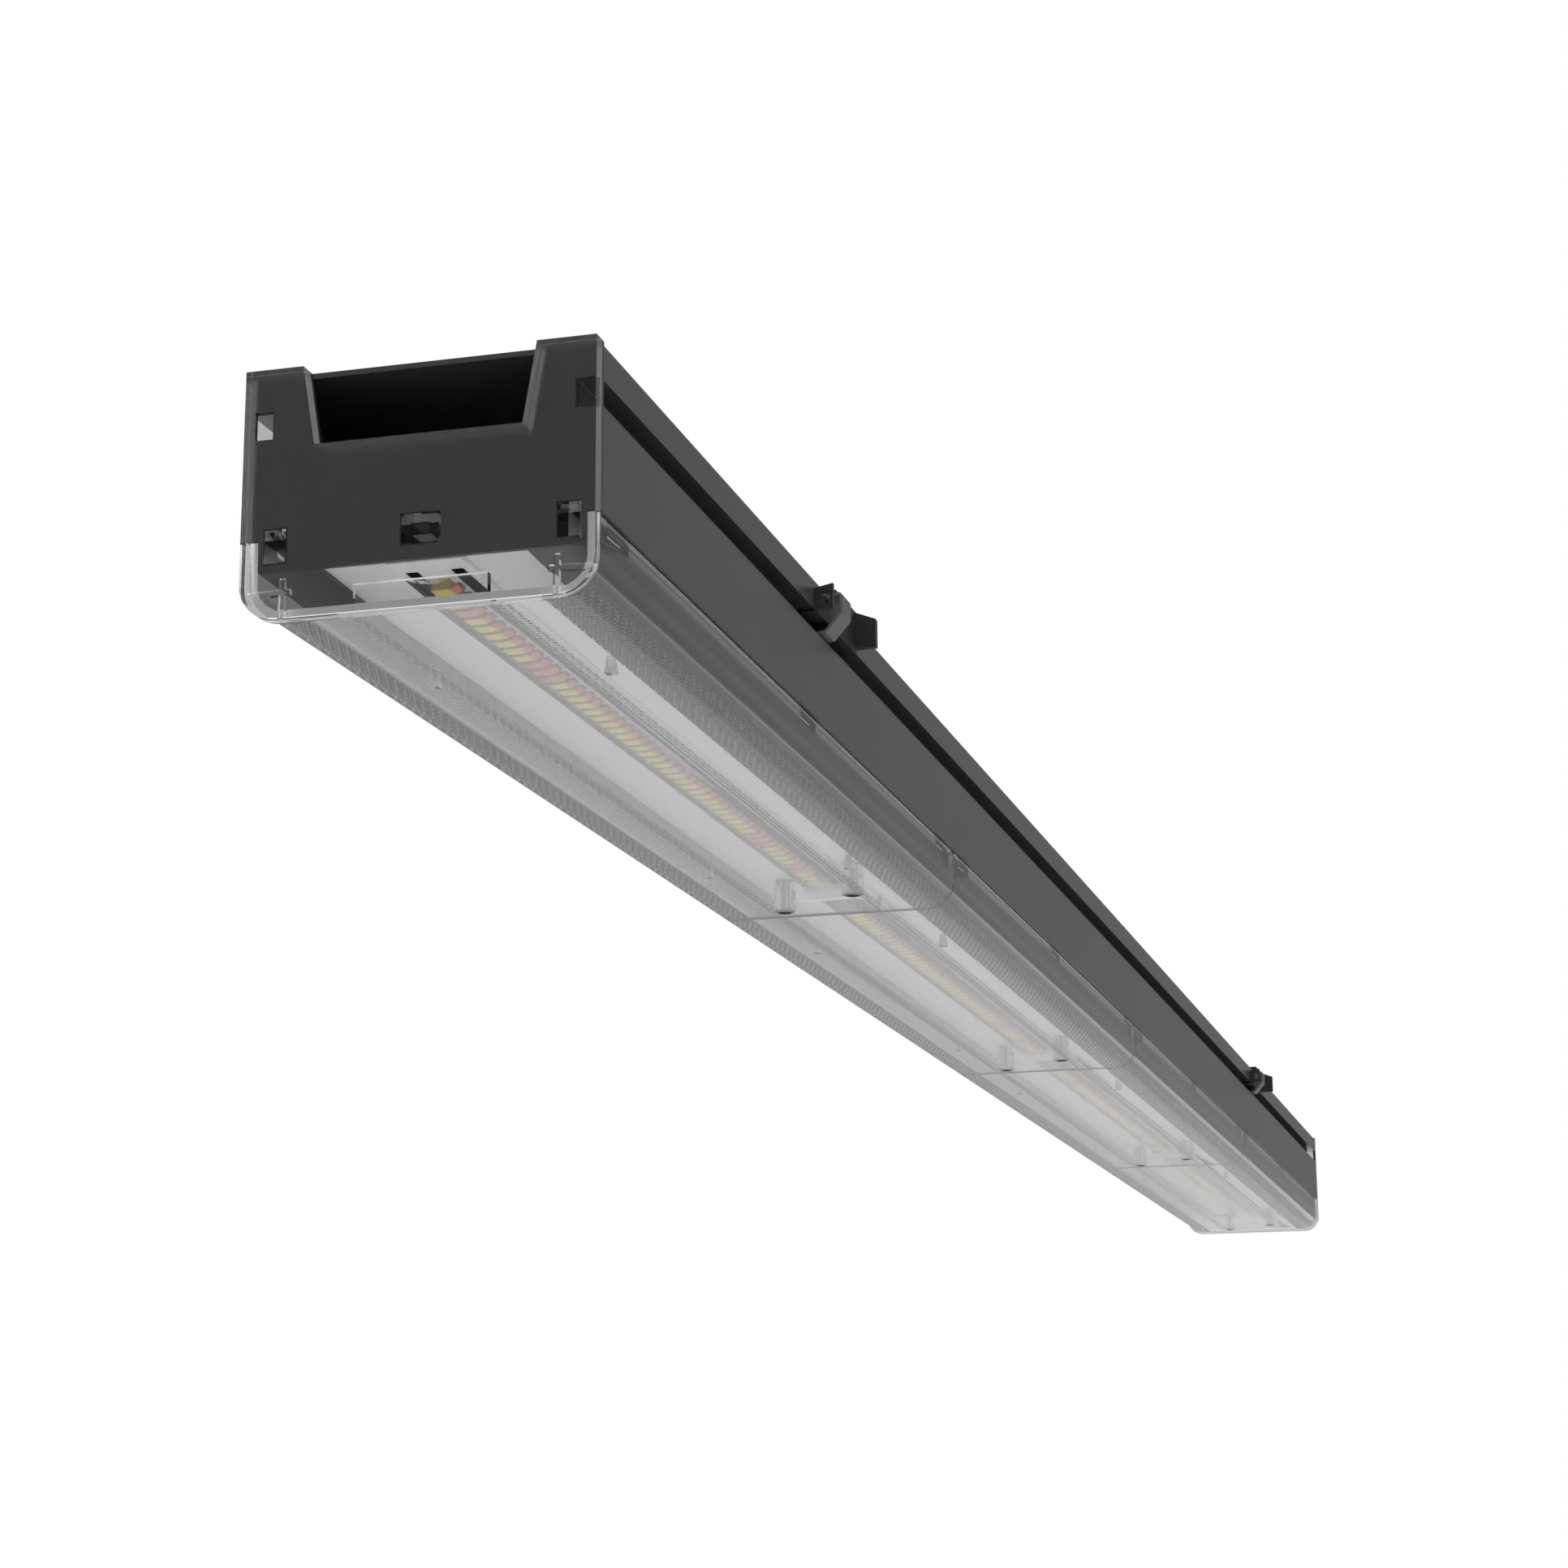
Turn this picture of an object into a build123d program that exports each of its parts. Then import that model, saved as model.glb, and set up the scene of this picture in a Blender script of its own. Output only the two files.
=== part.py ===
import os

from build123d import *

os.makedirs("parts", exist_ok=True)

# Linear LED light fitting, in millimetres.
# X runs across it, Y along it and Z up. The origin is on the resting plane, under its middle.
# An inverted folded steel channel carries a gear tray with the LED boards under it, and clear
# moulded optics clip over the channel's stepped skirts and close it from below.

hex_sides = 6

# Length: a row of equal modules between two end caps, each an optic over one LED board
module_count = 4
board_length = 280.0
board_gap = 3.5
module_gap = 0.5
cap_depth = 3.0

# Folded channel
body_width = 66.0
body_height = 46.6
steel_gauge = 1.0
top_bend_r = 1.2
mouth_width = 39.0
lip_z = 9.6
step_z = 15.4
step_depth = 2.4
groove_drop = 12.0
groove_height = 4.8
groove_depth = 4.0

# End plates and the cable cut-out, which the caps share
plate_gauge = 1.0
cut_top_width = 44.0
cut_bottom_width = 39.0
cut_depth = 14.9
window_side_web = 1.0
window_clearance = 0.6
plate_flange_depth = 10.0
plate_flange_gap = 1.6

# Clear end caps
cap_corner_r = 7.0
cap_skin = 1.5
cap_rim = 1.7
cap_pocket_drop = 1.6
side_prong_width = 4.0
side_prong_height = 6.3
side_prong_z = 10.9
side_prong_edge = 1.2
centre_prong_width = 7.0
centre_prong_height = 5.4
centre_prong_z = 12.4
prong_length = 7.0
prong_barb = 0.7
prong_slot_clearance = 0.3
cap_rib_z = 5.4
cap_rib = 1.0

# Clear optics
lens_wall = 1.5
lens_rise = 1.0
lens_inset = 0.8
lens_corner_r = 6.5
lens_step_gap = 0.2
wing_gap = 0.4
wing_rib_pitch = 0.65
wing_rib_count = 5
inner_rib_x = 12.0
inner_rib_pitch = 1.0
inner_rib_count = 4
rib_height = 0.4
end_rib_width = 25.0
end_rib_thickness = 1.5
end_rib_height = 3.7
catch_length = 12.0
catch_drop = 0.3
catch_height = 2.4
catch_reach = 1.5
catch_end_gap = 12.8
catch_slot_clearance = 0.4

# Stand-off pins and screw posts on the optics
pin_x = 17.7
pin_offset = 90.0
pin_foot_width = 2.2
pin_taper = 3.0
post_x = 11.0
post_corner_r = 2.9
post_left_end_gap = 5.5
post_right_end_gap = 21.5

# Fixing screws of the optics
lens_screw_r = 0.9
lens_screw_hole_r = 1.0
lens_screw_head_r = 1.7
lens_screw_head_height = 2.3
lens_screw_head_clearance = 0.1
shank_sides = 8

# Gear tray
tray_gauge = 1.0
tray_side_gap = 5.0
tray_height = 8.0
tray_end_gap = 1.0
lead_slot_length = 12.0
lead_slot_width = 8.0

# LED boards and their parts
board_width = 14.0
board_thickness = 1.0
led_count = 51
led_pitch = 5.1
led_width = 5.6
led_length = 3.0
led_height = 0.8
red_positions = (2, 9, 10, 11, 39, 40, 41, 46, 47)
link_width = 12.0
link_length = 12.0
link_height = 2.4

# Strip lens over the LEDs of each board
strip_width = 10.8
strip_edge_height = 1.4
strip_height = 2.6
strip_end_gap = 0.7
strip_led_gap = 0.3
strip_channel_height = 1.8

# LED driver on the tray
driver_width = 30.0
driver_height = 21.0
driver_length = 280.0
driver_edge_r = 2.0
driver_ear_length = 11.0
driver_ear_thickness = 2.5
driver_ear_width = 16.0
driver_screw_r = 1.9
driver_screw_hole_r = 2.1
driver_screw_head_r = 3.8
driver_screw_head_height = 2.2

# Mains terminal block and earth screw
block_y = -315.0
block_width = 32.0
block_length = 22.0
block_height = 16.0
block_chamfer = 2.0
pole_count = 3
pole_pitch = 9.0
pole_well_width = 5.2
pole_well_depth = 6.0
pole_screw_r = 2.3
pole_screw_height = 2.5
earth_screw_y = -235.0
earth_screw_r = 1.9
earth_head_r = 3.8
earth_head_height = 2.4
lug_r = 4.2
lug_thickness = 0.8
lug_barrel_length = 5.0
lug_barrel_wall = 0.5

# Leads
mains_lead_r = 1.1
mains_twin_width = 5.4
led_lead_r = 0.7
led_twin_width = 3.2
lead_chamfer = 0.6
lead_sides = 10
block_lead_z = 17.5
driver_lead_z = 22.5
straight_run = 30.0
lead_sweep_r = 60.0
earth_bend_r = 11.0
led_bend_r = 10.0

# Ceiling clips
clip_centres = (-407.0, 326.0)
clip_length = 34.0
clip_gauge = 0.9
clip_gap = 0.1
strap_width = 19.0
strap_gauge = 1.4
strap_hole_x = 20.0
strap_hole_r = 2.25
cheek_reach = 5.7
cheek_gauge = 2.0
cheek_shoulder_drop = 2.2
front_cheek_reach = 4.1
front_cheek_gauge = 1.2
front_cheek_top_gap = 2.5
front_cheek_rise = 0.8
front_window_width = 1.9
front_window_height = 2.6
hook_reach = 3.0
hook_gap = 0.3
leaf_gauge = 0.6
leaf_width = 12.6
leaf_reach = 4.6
leaf_bend_r = 0.9
leaf_toe_reach = 3.2
detent_offset = 36.5
detent_length = 15.0
detent_height = 3.0

# Places that follow from the sizes above
half_width = body_width / 2
module_pitch = board_length + board_gap
groove_z = body_height - groove_drop
cut_floor_z = body_height - cut_depth
body_half_length = module_count * module_pitch / 2
cap_face_y = body_half_length + cap_depth
channel_half_length = body_half_length - plate_gauge
skirt_x = half_width - step_depth
groove_x = half_width - groove_depth
groove_top_z = groove_z + groove_height
tray_z = lip_z + steel_gauge
tray_floor_z = tray_z + tray_gauge
board_z = tray_z - board_thickness
lens_half_width = half_width - lens_inset
lens_inner_x = lens_half_width - lens_wall
lens_top_z = step_z - lens_step_gap
lens_floor_z = lens_rise + lens_wall
lens_length = module_pitch - module_gap
lens_corner_x = lens_half_width - lens_corner_r
wing_start = lens_corner_x - wing_gap - wing_rib_count * wing_rib_pitch
module_centres = [(i - (module_count - 1) / 2) * module_pitch for i in range(module_count)]
catch_offsets = (-(lens_length / 2 - catch_end_gap), 0.0, lens_length / 2 - catch_end_gap)
catch_top_z = lens_top_z - catch_drop
post_places = (
    (-post_x, lens_length / 2 - post_left_end_gap),
    (post_x, lens_length / 2 - post_right_end_gap),
)
pin_places = [(side * pin_x, end * pin_offset) for side in (-1, 1) for end in (-1, 1)]
led_places = [(i - (led_count - 1) / 2) * led_pitch for i in range(led_count)]
pole_xs = [(i - (pole_count - 1) / 2) * pole_pitch for i in range(pole_count)]
earth_screw_x = pole_xs[-1]
side_prong_x = skirt_x - side_prong_edge - side_prong_width / 2
side_prong_places = [(side * side_prong_x, side_prong_z + side_prong_height / 2) for side in (-1, 1)]

# Right half of the channel's outline, from the middle of its underside up to the middle of its top
body_outline = (
    (0, lip_z),
    (skirt_x, lip_z),
    (skirt_x, step_z),
    (half_width, step_z),
    (half_width, groove_z),
    (groove_x, groove_z),
    (groove_x, groove_top_z),
    (half_width, groove_top_z),
    (half_width, body_height),
    (0, body_height),
)


def across(y):
    """The plane across the fitting at y, with its sketch upright and X to the right."""
    return Plane.XZ.offset(-y)


def save(part, name):
    part.label = name
    export_step(part, f"parts/{name}.step")


def save_each_module(part, name):
    for number, centre in enumerate(module_centres, start=1):
        save(part.moved(Location((0, centre, 0))), f"{name}_{number}")


# Folded steel channel, with slots in its skirts for the optics' catches and in its grooves
with BuildPart() as housing:
    with BuildSketch(Plane.XZ) as channel_section:
        with BuildLine():
            Polyline(*body_outline)
            mirror(about=Plane.YZ)
        make_face()
        top_corners = channel_section.vertices().group_by(Axis.Y)[-1]
        fillet(top_corners.filter_by(lambda v: abs(v.X) > groove_x), top_bend_r)
        offset(amount=-steel_gauge, kind=Kind.INTERSECTION, mode=Mode.SUBTRACT)
        with Locations((0, lip_z)):
            Rectangle(mouth_width, 2 * steel_gauge, mode=Mode.SUBTRACT)
    extrude(amount=channel_half_length, both=True)
    with BuildSketch(Plane.YZ) as catch_slots:
        for centre in module_centres:
            for offset_y in catch_offsets:
                with Locations((centre + offset_y, catch_top_z - catch_height / 2)):
                    Rectangle(catch_length + 2 * catch_slot_clearance, catch_height + catch_slot_clearance)
    extrude(amount=half_width, both=True, mode=Mode.SUBTRACT)
    with BuildSketch(Plane.YZ) as detent_slots:
        for centre in clip_centres:
            with Locations((centre - detent_offset, groove_z + groove_height / 2)):
                Rectangle(detent_length, detent_height)
    extrude(amount=half_width, both=True, mode=Mode.SUBTRACT)
save(housing.part, "housing")

# End plate: its flanges lie inside the channel's walls
with BuildPart() as end_plate:
    with BuildSketch(across(-body_half_length)) as plate_face:
        with BuildLine():
            Polyline(
                (0, lip_z),
                (skirt_x, lip_z),
                (skirt_x, step_z),
                (half_width, step_z),
                (half_width, body_height),
                (cut_top_width / 2, body_height),
                (cut_bottom_width / 2, cut_floor_z),
                (0, cut_floor_z),
            )
            mirror(about=Plane.YZ)
        make_face()
        window_width = groove_depth - window_side_web + window_clearance
        window_x = half_width - window_side_web - window_width / 2
        with Locations(*[(side * window_x, groove_z + groove_height / 2) for side in (-1, 1)]):
            Rectangle(window_width, groove_height + window_clearance, mode=Mode.SUBTRACT)
        with Locations(*side_prong_places):
            Rectangle(
                side_prong_width + 2 * prong_slot_clearance,
                side_prong_height + 2 * prong_slot_clearance,
                mode=Mode.SUBTRACT,
            )
        with Locations((0, centre_prong_z + centre_prong_height / 2)):
            Rectangle(
                centre_prong_width + 2 * prong_slot_clearance,
                centre_prong_height + 2 * prong_slot_clearance,
                mode=Mode.SUBTRACT,
            )
    extrude(amount=-plate_gauge)
    with BuildSketch(across(-channel_half_length)) as plate_flanges:
        flange_x = half_width - steel_gauge - plate_gauge / 2
        flange_z = step_z + steel_gauge + plate_flange_gap
        flange_height = groove_z - steel_gauge - plate_flange_gap - flange_z
        with Locations((-flange_x, flange_z), (flange_x, flange_z)):
            Rectangle(plate_gauge, flange_height, align=(Align.CENTER, Align.MIN))
    extrude(amount=-plate_flange_depth)
save(end_plate.part, "end_plate_near")
with BuildPart() as end_plate_far:
    mirror(end_plate.part, about=Plane.XZ)
save(end_plate_far.part, "end_plate_far")

# Clear end cap: a solid plate with a ribbed pocket over the optic's end, and snap prongs
with BuildPart() as end_cap:
    with BuildSketch(across(-cap_face_y)) as cap_face:
        with BuildLine():
            Polyline(
                (0, 0),
                (half_width, 0),
                (half_width, body_height),
                (cut_top_width / 2, body_height),
                (cut_bottom_width / 2, cut_floor_z),
                (0, cut_floor_z),
            )
            mirror(about=Plane.YZ)
        make_face()
        bottom_corners = cap_face.vertices().group_by(Axis.Y)[0]
        fillet(bottom_corners.filter_by(lambda v: abs(v.X) > groove_x), cap_corner_r)
    extrude(amount=-cap_depth)
    with BuildSketch(across(-body_half_length)) as cap_pocket:
        add(cap_face.sketch_local)
        offset(amount=-cap_rim, kind=Kind.INTERSECTION, mode=Mode.REPLACE)
        with Locations((0, step_z - cap_pocket_drop)):
            Rectangle(body_width, body_height, align=(Align.CENTER, Align.MIN), mode=Mode.SUBTRACT)
    extrude(amount=cap_depth - cap_skin, mode=Mode.SUBTRACT)
    with BuildSketch(across(-body_half_length)) as cap_ribs:
        for side in (-1, 1):
            with Locations((side * (half_width - cap_rim - lens_corner_r / 2), cap_rib_z)):
                Rectangle(lens_corner_r + cap_rim, cap_rib)
            with Locations((side * (half_width - cap_corner_r - cap_rib / 2), lip_z / 2)):
                Rectangle(cap_rib, lip_z - 2 * cap_rim)
    extrude(amount=cap_depth - cap_skin)
    with BuildSketch(across(-cap_face_y + cap_skin)) as prong_roots:
        with Locations(*side_prong_places):
            Rectangle(side_prong_width, side_prong_height)
        with Locations((0, centre_prong_z + centre_prong_height / 2)):
            Rectangle(centre_prong_width, centre_prong_height)
            Rectangle(centre_prong_width - 2 * cap_rim, centre_prong_height - 2 * cap_rim, mode=Mode.SUBTRACT)
    extrude(amount=-(cap_depth - cap_skin + prong_length))
    with BuildSketch(Plane.YZ.offset(-skirt_x + side_prong_edge)) as barb_side:
        with BuildLine():
            Polyline(
                (-body_half_length + prong_length, side_prong_z + side_prong_height),
                (-body_half_length + plate_gauge + prong_slot_clearance, side_prong_z + side_prong_height),
                (
                    -body_half_length + plate_gauge + prong_slot_clearance,
                    side_prong_z + side_prong_height + prong_slot_clearance + prong_barb,
                ),
                close=True,
            )
        make_face()
    extrude(amount=side_prong_width)
    mirror(about=Plane.YZ)
save(end_cap.part, "end_cap_near")
with BuildPart() as end_cap_far:
    mirror(end_cap.part, about=Plane.XZ)
save(end_cap_far.part, "end_cap_far")

# Optic of one module: a clear trough with two bands of fine ribs a side, a low rib across each
# end, inside catches, tapered stand-off pins and counterbored screw posts
with BuildPart() as lens:
    with BuildSketch(Plane.XZ) as trough:
        with BuildLine():
            corner_z = lens_rise + lens_corner_r
            rib_points = []
            for start, count, pitch in (
                (wing_start, wing_rib_count, wing_rib_pitch),
                (inner_rib_x, inner_rib_count, inner_rib_pitch),
            ):
                rib_points.append((start + count * pitch, lens_floor_z))
                for i in range(count, 0, -1):
                    rib_points.append((start + (i - 0.5) * pitch, lens_floor_z + rib_height))
                    rib_points.append((start + (i - 1) * pitch, lens_floor_z))
            Line((0, lens_rise), (lens_corner_x, lens_rise))
            CenterArc((lens_corner_x, corner_z), lens_corner_r, -90, 90)
            Polyline(
                (lens_half_width, corner_z),
                (lens_half_width, lens_top_z),
                (lens_inner_x, lens_top_z),
                (lens_inner_x, corner_z),
            )
            CenterArc((lens_corner_x, corner_z), lens_corner_r - lens_wall, -90, 90)
            Polyline((lens_corner_x, lens_floor_z), *rib_points, (0, lens_floor_z))
            mirror(about=Plane.YZ)
        make_face()
    extrude(amount=lens_length / 2, both=True)
    with BuildSketch(Plane.XY.offset(lens_floor_z)) as end_ribs:
        with Locations(*[(0, end * (lens_length - end_rib_thickness) / 2) for end in (-1, 1)]):
            Rectangle(end_rib_width, end_rib_thickness)
    extrude(amount=end_rib_height)
    for offset_y in catch_offsets:
        with BuildSketch(across(offset_y)) as catches:
            with BuildLine():
                Polyline(
                    (lens_inner_x, catch_top_z),
                    (lens_inner_x - catch_reach, catch_top_z),
                    (lens_inner_x, catch_top_z - catch_height),
                    close=True,
                )
            make_face()
            mirror(about=Plane.YZ)
        extrude(amount=catch_length / 2, both=True)
    with BuildSketch(Plane.XY.offset(lens_floor_z)) as pins:
        with Locations(*pin_places):
            Rectangle(pin_foot_width, pin_foot_width)
    extrude(amount=tray_z - lens_floor_z, taper=pin_taper)
    with BuildSketch(Plane.XY.offset(lens_floor_z)) as posts:
        with Locations(*post_places):
            RegularPolygon(post_corner_r, hex_sides)
    extrude(amount=tray_z - lens_floor_z)
    with Locations(*[(x, y, lens_rise) for x, y in post_places]):
        Cylinder(
            lens_screw_hole_r,
            tray_z - lens_rise,
            align=(Align.CENTER, Align.CENTER, Align.MIN),
            mode=Mode.SUBTRACT,
        )
        Cylinder(
            lens_screw_head_r + lens_screw_head_clearance,
            lens_screw_head_height,
            align=(Align.CENTER, Align.CENTER, Align.MIN),
            mode=Mode.SUBTRACT,
        )
save_each_module(lens.part, "lens")

# Screws of the optics, driven from below into the tray
with BuildPart() as lens_screws:
    for centre in module_centres:
        with BuildSketch(Plane.XY.offset(lens_rise)) as heads:
            with Locations(*[(x, centre + y) for x, y in post_places]):
                Circle(lens_screw_head_r)
        extrude(amount=lens_screw_head_height)
        with BuildSketch(Plane.XY.offset(lens_rise + lens_screw_head_height)) as shanks:
            with Locations(*[(x, centre + y) for x, y in post_places]):
                RegularPolygon(lens_screw_r, shank_sides)
        extrude(amount=tray_floor_z - lens_rise - lens_screw_head_height)
save(lens_screws.part, "lens_screws")

# White gear tray, resting on the channel's lips
last_border_y = module_centres[-1] - module_pitch / 2
tray_half_width = skirt_x - steel_gauge - tray_side_gap
with BuildPart() as gear_tray:
    with BuildSketch(Plane.XZ) as tray_section:
        with Locations((0, tray_z)):
            Rectangle(2 * tray_half_width, tray_height, align=(Align.CENTER, Align.MIN))
        with Locations((0, tray_floor_z)):
            Rectangle(
                2 * (tray_half_width - tray_gauge),
                tray_height,
                align=(Align.CENTER, Align.MIN),
                mode=Mode.SUBTRACT,
            )
    extrude(amount=channel_half_length - tray_end_gap, both=True)
    with BuildSketch(Plane.XY.offset(tray_z)) as tray_holes:
        for centre in module_centres:
            with Locations(*[(x, centre + y) for x, y in post_places]):
                Circle(lens_screw_hole_r)
        with Locations(*[(0, end * (driver_length + driver_ear_length) / 2) for end in (-1, 1)]):
            Circle(driver_screw_hole_r)
        with Locations((earth_screw_x, earth_screw_y)):
            Circle(earth_screw_r)
        with Locations((0, last_border_y)):
            SlotOverall(lead_slot_length, lead_slot_width)
    extrude(amount=tray_gauge, mode=Mode.SUBTRACT)
save(gear_tray.part, "gear_tray")

# LED board of one module, its LEDs and the links between the boards
with BuildPart() as led_board:
    with BuildSketch(Plane.XY.offset(board_z)) as board_face:
        Rectangle(board_width, board_length)
    extrude(amount=board_thickness)
save_each_module(led_board.part, "led_board")

with BuildPart() as leds_warm:
    with BuildSketch(Plane.XY.offset(board_z)) as warm_row:
        with Locations(*[(0, y) for i, y in enumerate(led_places) if i not in red_positions]):
            Rectangle(led_width, led_length)
    extrude(amount=-led_height)
save_each_module(leds_warm.part, "leds_warm")

with BuildPart() as leds_red:
    with BuildSketch(Plane.XY.offset(board_z)) as red_row:
        with Locations(*[(0, y) for i, y in enumerate(led_places) if i in red_positions]):
            Rectangle(led_width, led_length)
    extrude(amount=-led_height)
save_each_module(leds_red.part, "leds_red")

with BuildPart() as board_links:
    with BuildSketch(Plane.XY.offset(board_z)) as link_faces:
        with Locations(*[(0, centre + module_pitch / 2) for centre in module_centres[:-1]]):
            Rectangle(link_width, link_length)
    extrude(amount=-link_height)
save(board_links.part, "board_links")

# Clear strip lens under each board: its LEDs lie in a channel along its back
strip_back_z = board_z - strip_height
strip_length = module_pitch - link_length - 2 * strip_end_gap
with BuildPart() as led_strip_lens:
    with BuildSketch(Plane.XZ) as strip_section:
        with BuildLine():
            Polyline(
                (strip_width / 2, board_z - strip_edge_height),
                (strip_width / 2, board_z),
                (-strip_width / 2, board_z),
                (-strip_width / 2, board_z - strip_edge_height),
            )
            ThreePointArc(
                (-strip_width / 2, board_z - strip_edge_height),
                (0, strip_back_z),
                (strip_width / 2, board_z - strip_edge_height),
            )
        make_face()
        with Locations((0, board_z)):
            Rectangle(
                led_width + 2 * strip_led_gap,
                strip_channel_height,
                align=(Align.CENTER, Align.MAX),
                mode=Mode.SUBTRACT,
            )
    extrude(amount=strip_length / 2, both=True)
save_each_module(led_strip_lens.part, "led_strip_lens")

# LED driver, screwed to the tray by its two ears
with BuildPart() as led_driver:
    with BuildSketch(Plane.XY.offset(tray_floor_z)) as driver_foot:
        Rectangle(driver_width, driver_length)
    extrude(amount=driver_height)
    fillet(led_driver.edges().filter_by(Axis.Y).group_by(Axis.Z)[-1], driver_edge_r)
    with BuildSketch(Plane.XY.offset(tray_floor_z)) as driver_ears:
        Rectangle(driver_ear_width, driver_length + 2 * driver_ear_length)
        with Locations(*[(0, end * (driver_length + driver_ear_length) / 2) for end in (-1, 1)]):
            Circle(driver_screw_hole_r, mode=Mode.SUBTRACT)
    extrude(amount=driver_ear_thickness)
save(led_driver.part, "led_driver")

with BuildPart() as driver_screws:
    screw_places = [(0, end * (driver_length + driver_ear_length) / 2) for end in (-1, 1)]
    with BuildSketch(Plane.XY.offset(tray_z)) as driver_shanks:
        with Locations(*screw_places):
            RegularPolygon(driver_screw_r, shank_sides)
    extrude(amount=tray_gauge + driver_ear_thickness)
    with BuildSketch(Plane.XY.offset(tray_floor_z + driver_ear_thickness)) as driver_heads:
        with Locations(*screw_places):
            RegularPolygon(driver_screw_head_r, hex_sides)
    extrude(amount=driver_screw_head_height)
save(driver_screws.part, "driver_screws")

# Mains terminal block with a screw at each pole
with BuildPart() as terminal_block:
    with BuildSketch(Plane.XY.offset(tray_floor_z)) as block_foot:
        with Locations((0, block_y)):
            Rectangle(block_width, block_length)
    extrude(amount=block_height)
    chamfer(terminal_block.edges().filter_by(Axis.X).group_by(Axis.Z)[-1], block_chamfer)
    with BuildSketch(Plane.XY.offset(tray_floor_z + block_height)) as wells:
        with Locations(*[(x, block_y) for x in pole_xs]):
            Rectangle(pole_well_width, pole_well_width)
    extrude(amount=-pole_well_depth, mode=Mode.SUBTRACT)
save(terminal_block.part, "terminal_block")

with BuildPart() as terminal_screws:
    with BuildSketch(Plane.XY.offset(tray_floor_z + block_height - pole_well_depth)) as pole_screws:
        with Locations(*[(x, block_y) for x in pole_xs]):
            Circle(pole_screw_r)
    extrude(amount=pole_screw_height)
save(terminal_screws.part, "terminal_screws")

# Leads: a flat twin from the block to the driver, a lead to the earth screw, and a flat twin
# from the driver to the boards
block_end_y = block_y + block_length / 2
driver_in_y = -driver_length / 2
mains_lead_x = (pole_xs[0] + pole_xs[1]) / 2
with BuildPart() as mains_leads:
    with BuildLine() as mains_route:
        FilletPolyline(
            (mains_lead_x, block_end_y, block_lead_z),
            (mains_lead_x, block_end_y + straight_run, block_lead_z),
            (mains_lead_x, driver_in_y - straight_run, driver_lead_z),
            (mains_lead_x, driver_in_y, driver_lead_z),
            radius=lead_sweep_r,
        )
    with BuildSketch(across(block_end_y)) as mains_core:
        with Locations((mains_lead_x, block_lead_z)):
            Rectangle(mains_twin_width, 2 * mains_lead_r)
        chamfer(mains_core.vertices(), mains_lead_r * lead_chamfer)
    sweep(path=mains_route.line)
save(mains_leads.part, "mains_leads")

lug_top_z = tray_floor_z + lug_thickness
earth_end_z = lug_top_z + mains_lead_r
barrel_end_y = earth_screw_y - lug_r - lug_barrel_length
with BuildPart() as earth_lead:
    with BuildLine() as earth_route:
        FilletPolyline(
            (earth_screw_x, block_end_y, block_lead_z),
            (earth_screw_x, block_end_y + straight_run / 2, block_lead_z),
            (earth_screw_x, barrel_end_y - straight_run / 2, earth_end_z),
            (earth_screw_x, barrel_end_y, earth_end_z),
            radius=earth_bend_r,
        )
    with BuildSketch(across(block_end_y)) as earth_core:
        with Locations((earth_screw_x, block_lead_z)):
            RegularPolygon(mains_lead_r, lead_sides)
    sweep(path=earth_route.line)
    with BuildSketch(across(barrel_end_y)) as lug_barrel:
        with Locations((earth_screw_x, tray_floor_z)):
            Rectangle(
                2 * (mains_lead_r + lug_barrel_wall),
                lug_thickness + 2 * mains_lead_r + lug_barrel_wall,
                align=(Align.CENTER, Align.MIN),
            )
    extrude(amount=-lug_barrel_length)
    with BuildSketch(Plane.XY.offset(tray_floor_z)) as lug:
        with Locations((earth_screw_x, earth_screw_y)):
            Circle(lug_r)
        with Locations((earth_screw_x, earth_screw_y - lug_r)):
            Rectangle(2 * mains_lead_r, lug_r)
        with Locations((earth_screw_x, earth_screw_y)):
            Circle(earth_screw_r, mode=Mode.SUBTRACT)
    extrude(amount=lug_thickness)
save(earth_lead.part, "earth_lead")

with BuildPart() as earth_screw:
    with BuildSketch(Plane.XY.offset(tray_z)) as earth_shank:
        with Locations((earth_screw_x, earth_screw_y)):
            RegularPolygon(earth_screw_r, shank_sides)
    extrude(amount=lug_top_z - tray_z)
    with BuildSketch(Plane.XY.offset(lug_top_z)) as earth_head:
        with Locations((earth_screw_x, earth_screw_y)):
            RegularPolygon(earth_head_r, hex_sides)
    extrude(amount=earth_head_height)
save(earth_screw.part, "earth_screw")

with BuildPart() as led_leads:
    with BuildLine() as led_route:
        FilletPolyline(
            (0, driver_length / 2, driver_lead_z),
            (0, last_border_y, driver_lead_z),
            (0, last_border_y, board_z),
            radius=led_bend_r,
        )
    with BuildSketch(across(driver_length / 2)) as led_core:
        with Locations((0, driver_lead_z)):
            Rectangle(led_twin_width, 2 * led_lead_r)
        chamfer(led_core.vertices(), led_lead_r * lead_chamfer)
    sweep(path=led_route.line)
save(led_leads.part, "led_leads")

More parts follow.
